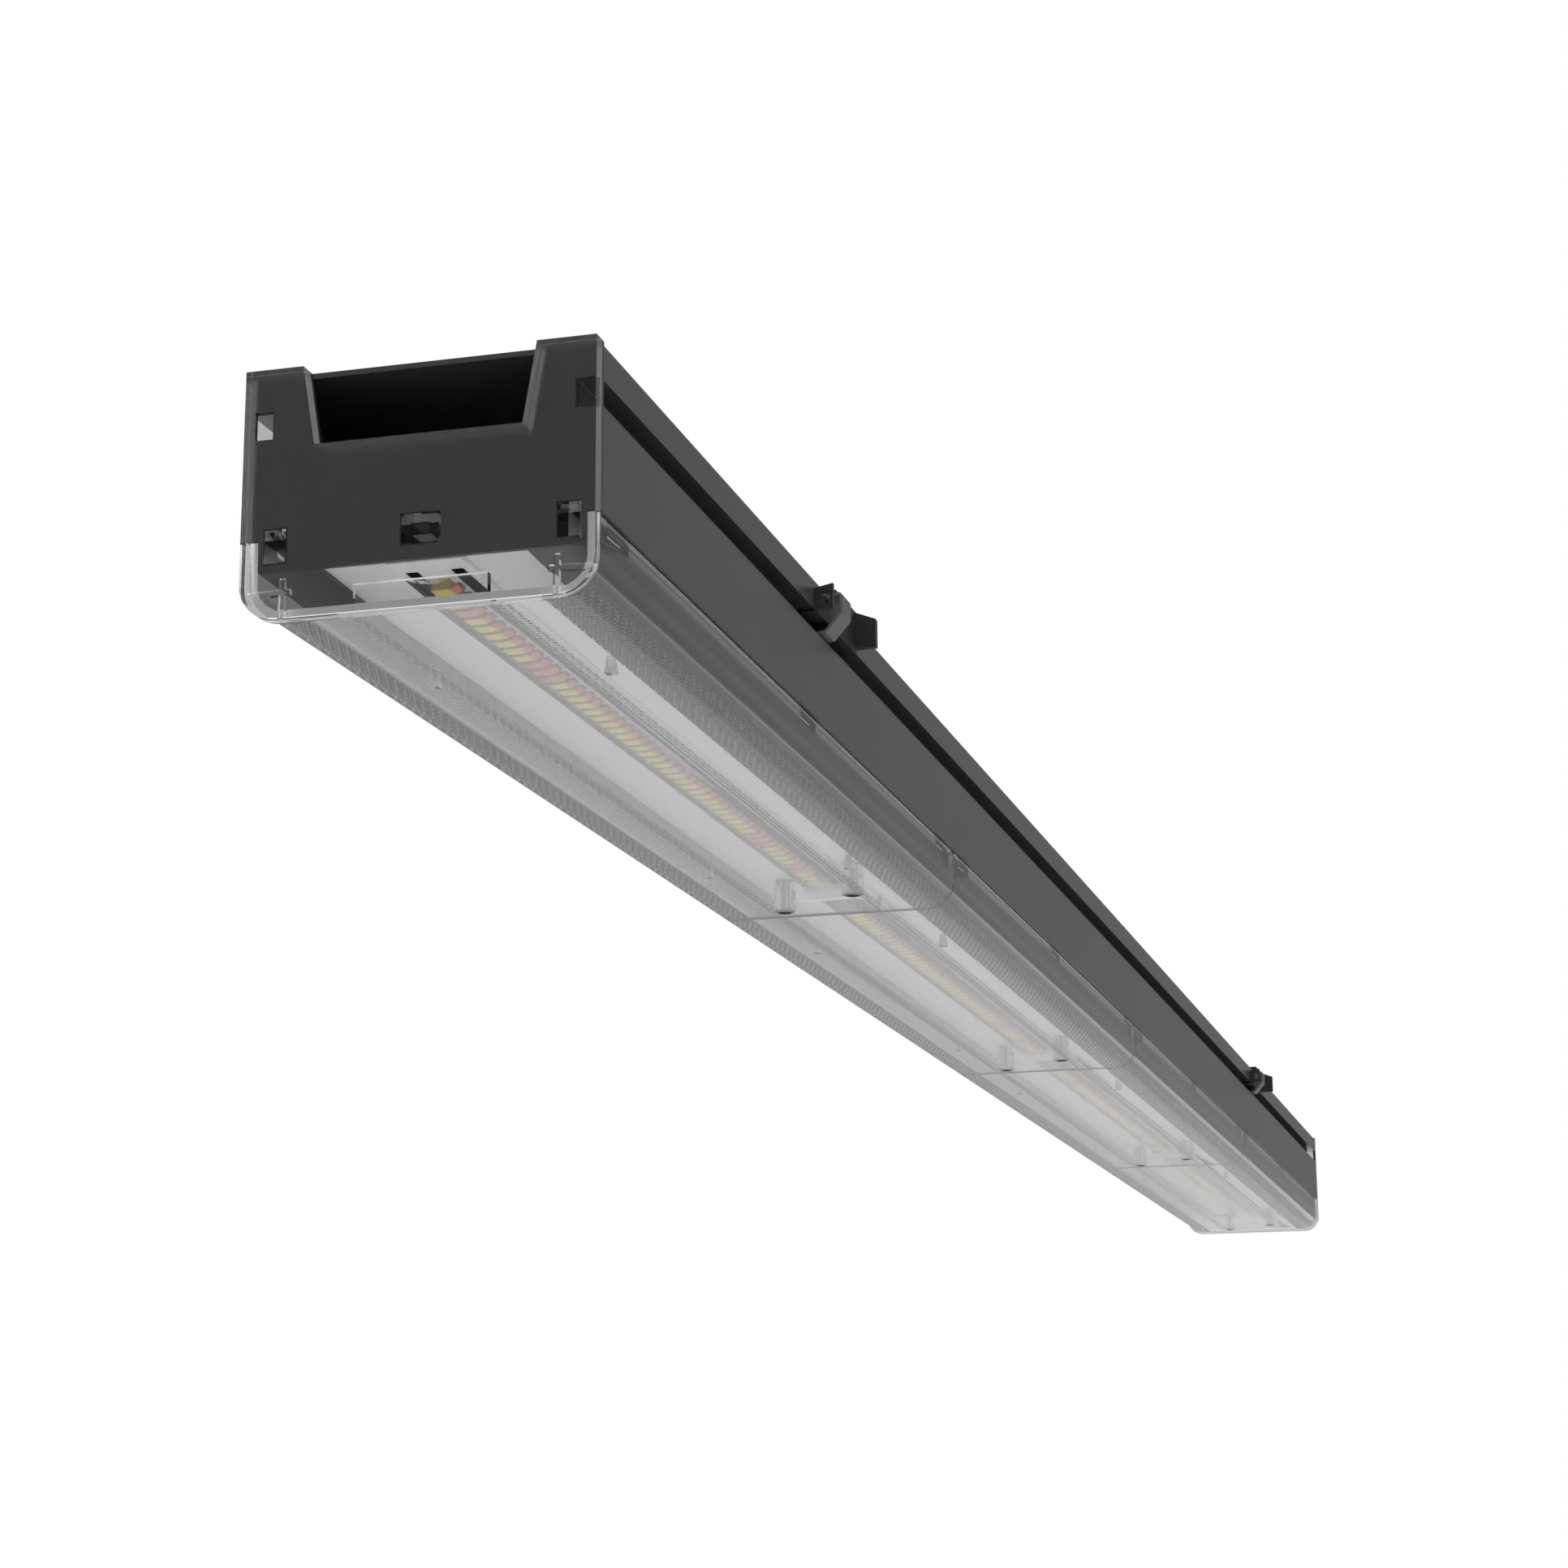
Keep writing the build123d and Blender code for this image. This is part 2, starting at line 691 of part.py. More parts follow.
# Ceiling clip: a strap over the top, a flange with a hook in each groove, and two cheeks a side
clip_face_x = half_width + clip_gap
flange_outer_x = clip_face_x + clip_gauge
hook_top_z = groove_top_z - hook_gap
strap_z = body_height + clip_gap
strap_top_z = strap_z + strap_gauge
front_top_z = body_height - front_cheek_top_gap
with BuildPart() as ceiling_clip:
    with BuildSketch(across(clip_length / 2 - strap_width)) as strap:
        with Locations((0, strap_z)):
            Rectangle(2 * flange_outer_x, strap_gauge, align=(Align.CENTER, Align.MIN))
        with Locations(*[(side * (clip_face_x + clip_gauge / 2), strap_top_z) for side in (-1, 1)]):
            Rectangle(clip_gauge, strap_top_z - hook_top_z, align=(Align.CENTER, Align.MAX))
    extrude(amount=-strap_width)
    with BuildSketch(across(-clip_length / 2)) as side_flanges:
        with BuildLine():
            Polyline(
                (clip_face_x - hook_reach, hook_top_z),
                (clip_face_x, hook_top_z),
                (clip_face_x, front_top_z),
                (flange_outer_x, front_top_z),
                (flange_outer_x, hook_top_z - clip_gauge),
                (clip_face_x - hook_reach, hook_top_z - clip_gauge),
                close=True,
            )
        make_face()
        mirror(about=Plane.YZ)
    extrude(amount=-clip_length)
    with BuildSketch(across(-clip_length / 2)) as front_cheeks:
        with BuildLine():
            Polyline(
                (clip_face_x, groove_top_z),
                (clip_face_x + front_cheek_reach, groove_top_z),
                (clip_face_x + front_cheek_reach, front_top_z + front_cheek_rise),
                (clip_face_x, front_top_z),
                close=True,
            )
        make_face()
        window_place = (clip_face_x + (front_cheek_reach + clip_gauge) / 2, (groove_top_z + front_top_z) / 2)
        with Locations(window_place):
            Rectangle(front_window_width, front_window_height, mode=Mode.SUBTRACT)
        mirror(about=Plane.YZ)
    extrude(amount=-front_cheek_gauge)
    with BuildSketch(across(clip_length / 2 - cheek_gauge)) as rear_cheeks:
        with BuildLine():
            Polyline(
                (clip_face_x, groove_top_z),
                (clip_face_x + cheek_reach, groove_top_z),
                (clip_face_x + cheek_reach, strap_top_z - cheek_shoulder_drop),
                (clip_face_x, strap_top_z),
                close=True,
            )
        make_face()
        mirror(about=Plane.YZ)
    extrude(amount=-cheek_gauge)
    with BuildSketch(Plane.XY.offset(strap_z)) as strap_holes:
        with Locations(*[(side * strap_hole_x, (clip_length - strap_width) / 2) for side in (-1, 1)]):
            Circle(strap_hole_r)
    extrude(amount=strap_gauge, mode=Mode.SUBTRACT)

# Spring leaves of one clip: each grips the groove from outside
with BuildPart() as clip_leaves:
    with BuildSketch(across(-clip_length / 2 + front_cheek_gauge)) as leaf_section:
        with BuildLine():
            FilletPolyline(
                (clip_face_x - leaf_toe_reach, groove_z + leaf_gauge),
                (flange_outer_x, groove_z + 2 * leaf_gauge),
                (flange_outer_x + leaf_reach - clip_gauge, groove_top_z + leaf_gauge),
                (flange_outer_x + leaf_reach - clip_gauge, front_top_z + front_cheek_rise),
                (flange_outer_x, front_top_z),
                radius=leaf_bend_r,
            )
            offset(amount=leaf_gauge, side=Side.LEFT)
        make_face()
        mirror(about=Plane.YZ)
    extrude(amount=-leaf_width)

for clip_name, centre in zip(("near", "far"), clip_centres):
    save(ceiling_clip.part.moved(Location((0, centre, 0))), f"ceiling_clip_{clip_name}")
    save(clip_leaves.part.moved(Location((0, centre, 0))), f"clip_leaves_{clip_name}")
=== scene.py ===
"""Looks of a linear LED light fitting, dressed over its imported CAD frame, laid out as a Blender add-on."""

import math

import bpy
from mathutils import Matrix, Vector


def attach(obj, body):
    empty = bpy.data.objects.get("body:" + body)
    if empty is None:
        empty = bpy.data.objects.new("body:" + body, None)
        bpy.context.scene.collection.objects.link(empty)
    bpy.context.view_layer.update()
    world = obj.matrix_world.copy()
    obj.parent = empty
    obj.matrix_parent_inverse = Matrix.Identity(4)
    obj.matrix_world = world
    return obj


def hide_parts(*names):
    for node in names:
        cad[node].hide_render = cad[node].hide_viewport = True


bl_info = {
    "name": "Linear LED Fitting",
    "version": (1, 0, 0),
    "blender": (4, 5, 0),
    "location": "View3D > Sidebar > Fitting",
    "description": "Dresses the CAD frame of a linear LED light fitting with detailed pieces and finishes",
    "category": "Object",
}

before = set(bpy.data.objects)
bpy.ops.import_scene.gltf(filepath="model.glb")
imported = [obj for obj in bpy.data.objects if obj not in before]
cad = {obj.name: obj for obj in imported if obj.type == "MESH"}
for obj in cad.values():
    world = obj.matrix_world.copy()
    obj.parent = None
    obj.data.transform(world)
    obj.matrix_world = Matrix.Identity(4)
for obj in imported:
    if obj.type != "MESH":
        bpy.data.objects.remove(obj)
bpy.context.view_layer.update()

# Blender works in metres. A pair is a span, from its low end to its high end.
MM = 0.001
BODY = "root"
ENDS = ("near", "far")
MODULES = (1, 2, 3, 4)
MIDDLE_MODULE = (len(MODULES) + 1) / 2
MODULE_PITCH = 283.5 * MM

# How far a point may lie from a face and still be on it, and how CAD triangles are joined and shaded
SLACK = 0.01 * MM
MERGE_DISTANCE = 0.002 * MM
SMOOTH_ANGLE = math.radians(35)

# Grain of the slow changes of shade and gloss over a coat, and of the flow in clear plastic
CLOUD_GRAIN = 40 * MM
FLOW_GRAIN = 14 * MM
CLEAR_ROUGHNESS = 0.02

# Channel: its coat is matt down in the side grooves, and its colour is darkened there as painted shade
GROOVE = (34.8 * MM, 39.2 * MM)
GROOVE_SIDE = 32.8 * MM
DULL_ROUGHNESS = 0.95
GROOVE_SHADE_TONE = 0.3

# LED packages: one shoulder slopes from the crown to the right side
LED_COUNT = 51
MIDDLE_LED = (LED_COUNT - 1) / 2
LED_PITCH = 5.1 * MM
LED_WIDTH = 5.6 * MM
LED_LENGTH = 3.0 * MM
LED_FACE_Z = 8.0 * MM
LED_BOARD_Z = 9.6 * MM
LED_BEVEL = 0.15 * MM
LED_CROWN = 0.8 * MM
LED_SLOPE = 0.85 * MM
LED_SMOOTH_ANGLE = math.radians(40)
RED_LEDS = (2, 9, 10, 11, 39, 40, 41, 46, 47)

# Phosphor: where its colour turns from left to right, and how much of the dark colour of painted shade its
# package sides take
PHOSPHOR_GRAIN = 1.2 * MM
PHOSPHOR_TURN = (0.2 * MM, 1.2 * MM)
PACKAGE_SHADE = 0.85

# Optic shape, as heights and distances from the middle. Its ribs are lowered to a share of their height.
OPTIC_FLOOR = 2.5 * MM
RIB_TOPS = (2.55 * MM, 2.95 * MM)
INNER_RIBS = (11 * MM, 16.5 * MM)
WING_RIB_SHARE = 0.1
INNER_RIB_SHARE = 0.12
WING_MARGIN = 0.1 * MM
PINS = (16 * MM, 19.5 * MM)
PIN_CUT = 9 * MM

# Optic finish: its zones, and how much of the frost and painted shade on the wings each one has or loses. The
# painted shade darkens the clear plastic towards black where its prisms throw light aside
PRISMS_TOP = 3 * MM
PRISM_SKEW = 0.35
# The lighter band keeps less of the frost and painted shade, as a painted highlight along the outer edge of
# each wing
LIGHTER_BAND = (26.6 * MM, 28.2 * MM)
LIGHTER_BAND_LOSS = 0.15
INNER_BAND = (12.8 * MM, 15 * MM)
INNER_BAND_FROST_AND_SHADE = 0.2
WALL_FOOT = (2.6 * MM, 4 * MM)
WALL_LOSS = 0.2
WALL_TOP = (12 * MM, 14 * MM)
PIN_FOOT = 2.6 * MM
PIN_FROST_AND_SHADE = 0.6

# End faces of the optics, given a pale metallic grey as a painted sheen, apart from the rib across each end
END_REACH = 0.05 * MM
END_SHEEN_COLOUR = (0.55, 0.55, 0.55)
END_ROUGHNESS = 0.4
END_RIB_FOOT = 2.55 * MM
END_RIB_SIDE = 26 * MM

# End caps: the back face and the pocket's floor from the fitting's middle, and the pocket's slope
CAP_BACK = 567 * MM
CAP_BACK_GAP = 0.05 * MM
POCKET_FLOOR = 568.5 * MM
POCKET_LIFT = 1.42 * MM
POCKET_TOP_Z = 13.8 * MM
POCKET_HEIGHT = 12.3 * MM

# Rim of the end caps: the pocket's outline has rounded corners with this centre and radius, and it
# moves outwards by this share of the radius
RIM_CORNER_X = 26 * MM
RIM_CORNER_Z = 7 * MM
RIM_INNER_R = 5.3 * MM
RIM_THINNED = 1.1 / 5.3
RIM_SLACK = 0.05 * MM

# Stage, in metres: the floor fades into the white surround over a span of distances from the fitting
FLOOR_SIZE = 14.0
FLOOR_FADE = (1.2, 2.4)
FLOOR_MIRRORED = 0.56
LAMP_SIZE = 3.0
KEY_PLACE = (2.4, -2.6, 1.6)
FILL_PLACE = (-3.0, -1.5, 0.6)

# The surround as glossy surfaces mirror it: bright below the horizon, dim above it
MIRRORED_BELOW = 0.9
MIRRORED_DROP = 0.65
MIRRORED_DEPTH = 0.055
HORIZON = (-0.02, 0.02)

# The camera that the photograph was taken with, fitted to its outlines
CAMERA_PLACE = (0.20010, -1.05699, -0.15970)
CAMERA_RIGHT = (0.963811, 0.266525, -0.005761)
CAMERA_FORWARD = (-0.257575, 0.936583, 0.237628)
CAMERA_LENS = 72.61
CAMERA_SENSOR = 36.0
CAMERA_NEAREST = 0.01


def inside(value, span):
    low, high = span
    return low < value < high


class Signal:
    """A value that varies over a surface. Its operators add Math nodes to the finish that it belongs to."""

    def __init__(self, finish, socket):
        self.finish = finish
        self.socket = socket

    def math(self, operation, *values):
        return self.finish.node("ShaderNodeMath", {"operation": operation}, values)

    def __add__(self, other):
        return self.math("ADD", self, other)

    def __radd__(self, other):
        return self.math("ADD", other, self)

    def __sub__(self, other):
        return self.math("SUBTRACT", self, other)

    def __rsub__(self, other):
        return self.math("SUBTRACT", other, self)

    def __mul__(self, other):
        return self.math("MULTIPLY", self, other)

    def __rmul__(self, other):
        return self.math("MULTIPLY", other, self)

    def above(self, edge):
        return self.math("GREATER_THAN", self, edge)

    def below(self, edge):
        return self.math("LESS_THAN", self, edge)

    def inside(self, span):
        low, high = span
        return self.above(low) * self.below(high)

    def larger(self, other):
        return self.math("MAXIMUM", self, other)

    def absolute(self):
        return self.math("ABSOLUTE", self)

    def root(self):
        return self.math("SQRT", self)

    def fold(self, span):
        """Runs up to span and back down to 0, over and over."""
        return self.math("PINGPONG", self, span)

    def wave(self, pitch):
        """A triangle wave from 0 to 1 with that pitch."""
        return self.fold(pitch / 2) * (2 / pitch)

    def ramp(self, low, high):
        """0 below low, 1 above high, and a smooth step between."""
        step = {"interpolation_type": "SMOOTHSTEP"}
        values = {"Value": self, "From Min": low, "From Max": high}
        return self.finish.node("ShaderNodeMapRange", step, values)

    def uneven(self, value, share):
        """That value, changed by up to that share either way where this signal runs from 0 to 1."""
        return value * (1 - share + self * (2 * share))


class Finish:
    """A node tree that is written as expressions."""

    def __init__(self, tree):
        self.tree = tree
        self.tree.nodes.clear()

    def node(self, kind, settings=None, values=(), output=0):
        """Adds a node, sets its settings first, then gives its sockets their values or links."""
        node = self.tree.nodes.new(kind)
        for name, value in (settings or {}).items():
            setattr(node, name, value)
        pairs = values.items() if isinstance(values, dict) else enumerate(values)
        for key, value in pairs:
            if isinstance(value, Signal):
                self.tree.links.new(value.socket, node.inputs[key])
            else:
                node.inputs[key].default_value = value
        return Signal(self, node.outputs[output]) if len(node.outputs) else None

    def mix(self, factor, first, second):
        """The first colour where factor is 0, and the second where it is 1."""
        colours = [value if isinstance(value, Signal) else (*value, 1.0) for value in (first, second)]
        values = {0: factor, 6: colours[0], 7: colours[1]}
        return self.node("ShaderNodeMix", {"data_type": "RGBA"}, values, output=2)

    def place(self, kind="Object"):
        return self.node("ShaderNodeTexCoord", output=kind)

    def axes(self, kind="Object"):
        """Three signals, one for each axis: a place on the object in metres, or in the world a direction."""
        split = self.node("ShaderNodeSeparateXYZ", None, [self.place(kind)])
        outputs = split.socket.node.outputs
        return [Signal(self, outputs[axis]) for axis in "XYZ"]

    def noise(self, grain, detail=2.0):
        """Noise from 0 to 1 whose grains are about that many metres across."""
        values = {"Vector": self.place(), "Scale": 1 / grain, "Detail": detail}
        return self.node("ShaderNodeTexNoise", None, values)

    def bump(self, height, depth):
        """A normal bent by a height from 0 to 1 that is that many metres deep."""
        return self.node("ShaderNodeBump", None, {"Distance": depth, "Height": height})

    def ray_kinds(self):
        """1 where a ray comes from the camera or through clear plastic, and 1 where from a glossy surface."""
        outputs = self.node("ShaderNodeLightPath").socket.node.outputs
        kinds = ("Camera", "Transmission", "Glossy")
        camera, through, mirrored = (Signal(self, outputs[f"Is {kind} Ray"]) for kind in kinds)
        return camera.larger(through), mirrored

    def output(self, kind, shader):
        self.node(kind, None, {"Surface": shader})

    def surface(self, values):
        """Ends the tree of a material in one Principled shader with those values."""
        shader = self.node("ShaderNodeBsdfPrincipled", None, values)
        self.output("ShaderNodeOutputMaterial", shader)


def new_material(name):
    material = bpy.data.materials.new(name)
    material.use_nodes = True
    return material, Finish(material.node_tree)


def toned(colour, tone):
    return tuple(min(1.0, channel * tone) for channel in colour)


def coated(name, colour, roughness, grain, depth, shade=0.06, **shader_values):
    """A painted, coated or moulded surface: fine grain, slight shade changes and uneven gloss."""
    material, finish = new_material(name)
    cloud = finish.noise(CLOUD_GRAIN, detail=3.0)
    fine = finish.noise(grain)
    uneven = cloud * 0.7 + fine * 0.3
    finish.surface({
        "Base Color": finish.mix(uneven, toned(colour, 1 - shade), toned(colour, 1 + shade)),
        "Roughness": cloud.uneven(roughness, 0.1),
        "Normal": finish.bump(fine, depth),
        **shader_values,
    })
    return material


def clear_plastic(name, tint, ior, texture=None, frost=0.0, shade=0.0, depth=0.0):
    """Clear moulded plastic that bends light. Its texture gives the frost with its painted shade, its height,
    and the pale ends as a painted sheen.
    """
    material, finish = new_material(name)
    flow = finish.noise(FLOW_GRAIN, detail=1.0)
    gloss = flow.uneven(CLEAR_ROUGHNESS, 0.2)
    values = {
        "Base Color": finish.mix(flow, tint, toned(tint, 1.01)),
        "IOR": ior,
        "Transmission Weight": 1.0,
    }
    if texture:
        frost_and_shade, height, ends = texture(finish)
        gloss = gloss + frost_and_shade * frost + ends * END_ROUGHNESS
        # Painted shade: the colour darkens towards black where the frost lies, by the shade share
        shaded_colour = finish.mix(frost_and_shade * shade, values["Base Color"], (0.0, 0.0, 0.0))
        # Painted sheen: the cut end faces turn a pale metallic grey
        values["Base Color"] = finish.mix(ends, shaded_colour, END_SHEEN_COLOUR)
        values["Metallic"] = ends
        values["Normal"] = finish.bump(height * frost_and_shade, depth)
    values["Roughness"] = gloss
    finish.surface(values)
    return material


def phosphor(name, left, right, body):
    """Cast phosphor, of one shade on its left and another on its right, with its package sides darkened as
    painted shade.
    """
    material, finish = new_material(name)
    x, _, z = finish.axes()
    cloud = finish.noise(PHOSPHOR_GRAIN)
    turn = (x + (cloud - 0.5) * PHOSPHOR_GRAIN).ramp(*PHOSPHOR_TURN)
    slope = (x - LED_CROWN).larger(0.0) * (LED_SLOPE / (LED_WIDTH / 2 - LED_CROWN))
    # Painted shade: the package sides above the face take the dark body colour
    shaded_sides = (z - slope).ramp(LED_FACE_Z + LED_BEVEL, LED_FACE_Z + 2 * LED_BEVEL)
    finish.surface({
        "Base Color": finish.mix(shaded_sides * PACKAGE_SHADE, finish.mix(turn, left, right), body),
        "Roughness": 0.25 + cloud * 0.2,
        "Normal": finish.bump(cloud, depth=0.03 * MM),
    })
    return material


def channel_coat(name, colour, gloss):
    """Dark powder coat that is matt down in the side grooves, where painted shade also darkens its colour."""
    material, finish = new_material(name)
    x, _, z = finish.axes()
    cloud = finish.noise(CLOUD_GRAIN)
    # Painted shade: down in the side grooves the colour is darkened, and the coat is matt
    dull_and_shaded = z.inside(GROOVE) * x.absolute().below(GROOVE_SIDE)
    finish.surface({
        "Base Color": finish.mix(dull_and_shaded * (0.9 + cloud * 0.1), colour, toned(colour, GROOVE_SHADE_TONE)),
        "Roughness": cloud.uneven(gloss, 0.05) + dull_and_shaded * (DULL_ROUGHNESS - gloss),
        "Normal": finish.bump(finish.noise(grain=0.5 * MM), depth=0.002 * MM),
    })
    return material


def add_piece(name, mesh):
    """A new object with that mesh, selected by itself and ready for edit mode."""
    piece = bpy.data.objects.new(name, mesh)
    bpy.context.scene.collection.objects.link(piece)
    bpy.ops.object.select_all(action="DESELECT")
    piece.select_set(True)
    bpy.context.view_layer.objects.active = piece
    return piece


def merged_copy(node, name, reshape=None):
    """A copy of a CAD node with its triangles joined, its points moved, and its round faces shaded smooth."""
    piece = add_piece(name, cad[node].data.copy())
    if piece.data.has_custom_normals:
        bpy.ops.mesh.customdata_custom_splitnormals_clear()
    bpy.ops.object.mode_set(mode="EDIT")
    bpy.ops.mesh.select_all(action="SELECT")
    bpy.ops.mesh.remove_doubles(threshold=MERGE_DISTANCE)
    bpy.ops.object.mode_set(mode="OBJECT")
    if reshape:
        for vertex in piece.data.vertices:
            vertex.co = reshape(*vertex.co)
        piece.data.update()
    bpy.ops.object.shade_smooth_by_angle(angle=SMOOTH_ANGLE)
    weighted = piece.modifiers.new("face weights", "WEIGHTED_NORMAL")
    weighted.keep_sharp = True
    bpy.ops.object.modifier_apply(modifier=weighted.name)
    return piece


def finish_piece(piece, material, node):
    """Gives a piece its one finish and its body, and hides the CAD node that it stands for."""
    piece.data.materials.clear()
    piece.data.materials.append(material)
    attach(piece, BODY)
    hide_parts(node)


def dress(names, material):
    """Gives CAD nodes that stay a better finish."""
    for name in names:
        for slot in cad[name].material_slots:
            slot.material = material


class StageSettings(bpy.types.PropertyGroup):
    """Floor, light and camera."""

    floor_drop: bpy.props.FloatProperty(
        name="Floor drop", description="How far the fitting hangs above the floor", default=0.5, unit="LENGTH"
    )
    ambient: bpy.props.FloatProperty(
        name="Ambient light", description="Strength of the white surround on matt surfaces", default=0.85
    )
    key_power: bpy.props.FloatProperty(
        name="Key light",
        description="Power of the large lamp over the right shoulder",
        default=90.0,
        unit="POWER",
    )
    fill_power: bpy.props.FloatProperty(
        name="Fill light", description="Power of the large lamp on the left", default=40.0, unit="POWER"
    )


class PaintSettings(bpy.types.PropertyGroup):
    """Painted steel."""

    dark: bpy.props.FloatVectorProperty(
        name="Channel",
        description="Powder coat of the channel",
        subtype="COLOR",
        default=(0.028, 0.028, 0.029),
    )
    plate: bpy.props.FloatVectorProperty(
        name="End plates",
        description="Powder coat of the end plates",
        subtype="COLOR",
        default=(0.021, 0.021, 0.021),
    )
    white: bpy.props.FloatVectorProperty(
        name="Tray", description="Powder coat of the gear tray", subtype="COLOR", default=(0.86, 0.86, 0.86)
    )


class OpticSettings(bpy.types.PropertyGroup):
    """Clear mouldings."""

    ior: bpy.props.FloatProperty(
        name="Bending", description="How strongly the plastic of the optics bends light", default=1.49
    )
    prism_pitch: bpy.props.FloatProperty(
        name="Prism pitch", description="Pitch of the fine prisms on the wings", default=0.0016, unit="LENGTH"
    )
    wing_start: bpy.props.FloatProperty(
        name="Wing start", description="Distance of the prisms from the middle", default=0.0221, unit="LENGTH"
    )
    pin_top: bpy.props.FloatProperty(
        name="Pin top", description="Height of the pins over the resting plane", default=0.0060, unit="LENGTH"
    )
    end_gap: bpy.props.FloatProperty(
        name="End gap",
        description="From the border of a module to the end of its optic",
        default=0.00025,
        unit="LENGTH",
    )
    cap_ior: bpy.props.FloatProperty(
        name="Cap bending", description="How strongly the thin end caps bend light", default=1.22
    )
    strip_ior: bpy.props.FloatProperty(
        name="Strip bending", description="How strongly the strips over the LEDs bend light", default=1.05
    )


class LedSettings(bpy.types.PropertyGroup):
    """LED packages."""

    yellow: bpy.props.FloatVectorProperty(
        name="Warm LEDs",
        description="Colour of the unlit warm phosphor",
        subtype="COLOR",
        default=(0.92, 0.74, 0.05),
    )
    pink: bpy.props.FloatVectorProperty(
        name="Red LEDs",
        description="Colour of the unlit red phosphor",
        subtype="COLOR",
        default=(0.70, 0.15, 0.10),
    )
    body: bpy.props.FloatVectorProperty(
        name="Packages",
        description="Colour of the shaded package sides",
        subtype="COLOR",
        default=(0.26, 0.14, 0.06),
    )


class ClipSettings(bpy.types.PropertyGroup):
    """Ceiling clips."""

    leaf_share: bpy.props.FloatProperty(
        name="Leaf width",
        description="Share of the spring leaf's width that is left after it is trimmed",
        default=0.6,
        subtype="FACTOR",
    )


class FITTING_OT_channel(bpy.types.Operator):
    """Finish the folded channel, the end plates and the gear tray"""

    bl_idname = "fitting.channel"
    bl_label = "Channel, End Plates and Tray"

    def execute(self, context):
        paint = context.scene.fitting_paint
        dark = channel_coat("Dark powder coat", tuple(paint.dark), gloss=0.3)
        plate = coated(
            "Plate powder coat", tuple(paint.plate),
            roughness=0.4, grain=0.5 * MM, depth=0.002 * MM, shade=0.03,
        )
        white = coated(
            "White powder coat", tuple(paint.white),
            roughness=0.4, grain=0.5 * MM, depth=0.015 * MM, shade=0.02,
        )
        dress(["housing"], dark)
        dress([f"end_plate_{end}" for end in ENDS], plate)
        dress(["gear_tray"], white)
        return {"FINISHED"}


class FITTING_OT_optics(bpy.types.Operator):
    """Model the clear optics and the strips over the LEDs"""

    bl_idname = "fitting.optics"
    bl_label = "Optics"

    def execute(self, context):
        settings = context.scene.fitting_optics

        def wing_prisms(finish):
            """The frost zones with their painted shade, the crossed prisms on the floor, and the two end
            faces.
            """
            x, y, z = finish.axes()
            side = x.absolute()
            low = z.below(PRISMS_TOP)
            # Painted highlight: less frost and painted shade on a band near the outer edge of each wing
            lighter_stripe = side.inside(LIGHTER_BAND) * low
            band = side.inside(INNER_BAND) * low
            wings = side.above(settings.wing_start) * (1.0 - lighter_stripe * LIGHTER_BAND_LOSS)
            wings = wings * (1.0 - z.ramp(*WALL_FOOT) * WALL_LOSS) * (1.0 - z.ramp(*WALL_TOP))
            pins = side.inside(PINS) * z.above(PIN_FOOT)
            across = (x + y * PRISM_SKEW).wave(settings.prism_pitch)
            along = (y - x * PRISM_SKEW).wave(settings.prism_pitch)
            ends = y.fold(MODULE_PITCH / 2).below(settings.end_gap + END_REACH)
            ends = ends * (1.0 - z.above(END_RIB_FOOT) * side.below(END_RIB_SIDE))
            return wings + band * INNER_BAND_FROST_AND_SHADE + pins * PIN_FROST_AND_SHADE, across * along * low, ends

        def flatten(x, y, z):
            """Lowers the ribs and cuts the pins, to the height at which they show."""
            side = abs(x)
            if inside(z, RIB_TOPS) and side > settings.wing_start - WING_MARGIN:
                z = OPTIC_FLOOR + (z - OPTIC_FLOOR) * WING_RIB_SHARE
            elif inside(z, RIB_TOPS) and inside(side, INNER_RIBS):
                z = OPTIC_FLOOR + (z - OPTIC_FLOOR) * INNER_RIB_SHARE
            elif inside(side, PINS) and z > PIN_CUT:
                z = settings.pin_top
            return x, y, z

        clear = clear_plastic(
            "Clear optic", (0.98, 0.98, 0.98), settings.ior, wing_prisms,
            frost=0.08, shade=0.75, depth=0.10 * MM,
        )
        for number in MODULES:
            node = f"lens_{number}"
            finish_piece(merged_copy(node, f"optic_{number}", flatten), clear, node)
        strip = clear_plastic("Clear strip", (0.99, 0.99, 0.99), settings.strip_ior)
        for number in MODULES:
            node = f"led_strip_lens_{number}"
            finish_piece(merged_copy(node, f"strip_{number}"), strip, node)
        return {"FINISHED"}


class FITTING_OT_end_caps(bpy.types.Operator):
    """Model the clear end caps"""

    bl_idname = "fitting.end_caps"
    bl_label = "End Caps"

    def execute(self, context):
        clear = clear_plastic("Clear cap", (0.98, 0.98, 0.98), context.scene.fitting_optics.cap_ior)

        def lift(x, y, z):
            """Keeps the back face just off the plate, and runs the pocket out to nothing at its top."""
            if abs(abs(y) - POCKET_FLOOR) < SLACK and z < POCKET_TOP_Z + SLACK:
                out = POCKET_FLOOR - POCKET_LIFT + (POCKET_TOP_Z - z) * POCKET_LIFT / POCKET_HEIGHT
                y = math.copysign(out, y)
            elif abs(abs(y) - CAP_BACK) < SLACK:
                y *= (CAP_BACK + CAP_BACK_GAP) / CAP_BACK
            return thin_rim(x, y, z)

        def thin_rim(x, y, z):
            """Moves the pocket's outline outwards, so that the clear rim is as thin as it looks."""
            out = max(abs(x) - RIM_CORNER_X, 0)
            down = max(RIM_CORNER_Z - z, 0)
            if abs(math.hypot(out, down) - RIM_INNER_R) < RIM_SLACK:
                x += math.copysign(out * RIM_THINNED, x)
                z -= down * RIM_THINNED
            return x, y, z

        for end in ENDS:
            node = f"end_cap_{end}"
            finish_piece(merged_copy(node, f"clear_cap_{end}", lift), clear, node)
        return {"FINISHED"}


